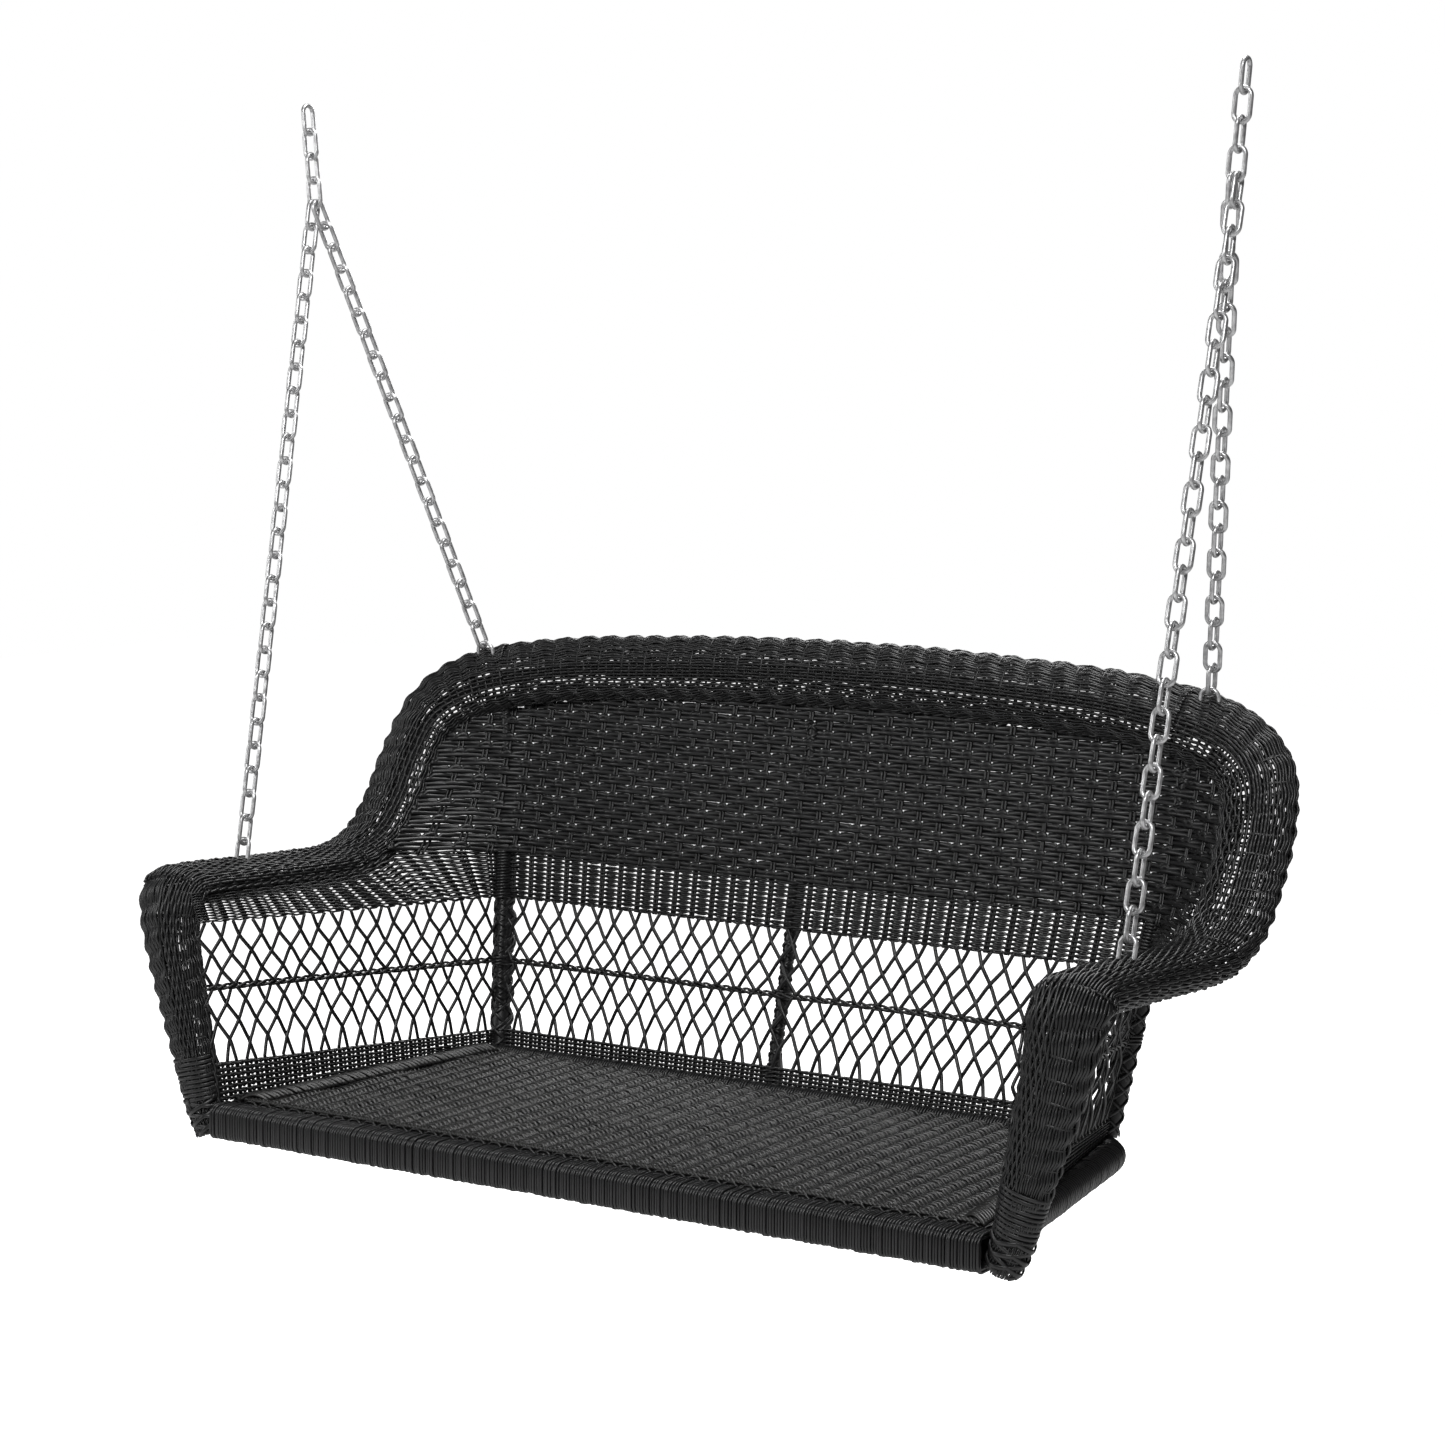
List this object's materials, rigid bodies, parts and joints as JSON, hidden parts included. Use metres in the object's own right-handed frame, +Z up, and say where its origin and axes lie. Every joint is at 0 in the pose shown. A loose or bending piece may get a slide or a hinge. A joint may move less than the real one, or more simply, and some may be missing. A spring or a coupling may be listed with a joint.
{
  "type": "hanging porch swing",
  "caption": "Two-person woven porch swing: curved back and rolled arms on a tube frame, hung by a forked chain at each end.",
  "frame": {"origin": "under the middle of the basket, on the plane of the undersides of the front rail and the arm fronts, with the swing hanging at rest", "axes": "+X along the seat to the sitter's left, which is the viewer's right from the front, +Y towards the back, +Z up"},
  "size_m": [1.46, 0.665, 1.3923],
  "materials": {
    "reed": "satin charcoal black woven reed",
    "frame_tube": "satin black",
    "chain": "galvanised"
  },
  "bodies": {
    "anchor": {"top_link_left": "chain", "top_link_right": "chain"},
    "hanger": {"upper_chain_left": "chain", "upper_chain_right": "chain"},
    "swing_seat": {"chain_front_left": "chain", "chain_front_right": "chain", "chain_back_left": "chain", "chain_back_right": "chain", "arm_ring_left": "chain", "arm_ring_right": "chain", "back_eye_left": "chain", "back_eye_right": "chain", "seat_front_rail": "frame_tube", "seat_side_rail_left": "frame_tube", "seat_side_rail_right": "frame_tube", "seat_back_rail": "frame_tube", "seat_crossbars": "frame_tube", "front_rail_winding": "reed", "side_rail_winding_left": "reed", "side_rail_winding_right": "reed", "back_rail_winding": "reed", "seat_weave": "reed", "seat_edge_braid": "reed", "hoop_left": "frame_tube", "hoop_right": "frame_tube", "hoop_top": "frame_tube", "back_post_left": "frame_tube", "back_post_right": "frame_tube", "back_post_centre": "frame_tube", "back_base_band": "reed", "back_lattice_lower": "reed", "back_mid_braid": "reed", "back_lattice_upper": "reed", "back_twined_band": "reed", "back_weave_panel": "reed", "side_base_band_left": "reed", "side_base_band_right": "reed", "side_lattice_lower_left": "reed", "side_lattice_lower_right": "reed", "side_mid_braid_left": "reed", "side_mid_braid_right": "reed", "side_lattice_upper_left": "reed", "side_lattice_upper_right": "reed", "side_band_left": "reed", "side_band_right": "reed", "back_roll": "reed", "shoulder_roll_left": "reed", "shoulder_roll_right": "reed", "arm_roll_left": "reed", "arm_roll_right": "reed", "arm_front_left": "reed", "arm_front_right": "reed"}
  },
  "joints": [
    {"name": "swing", "type": "hinge", "parent": "anchor", "child": "hanger", "pos_m": [0, 0.0515, 1.3492], "axis": [1, 0, 0], "range_deg": [-25, 25]},
    {"name": "seat_rock", "type": "hinge", "parent": "hanger", "child": "swing_seat", "pos_m": [0, 0.0515, 1.242], "axis": [1, 0, 0], "range_deg": [-10, 10]}
  ]
}
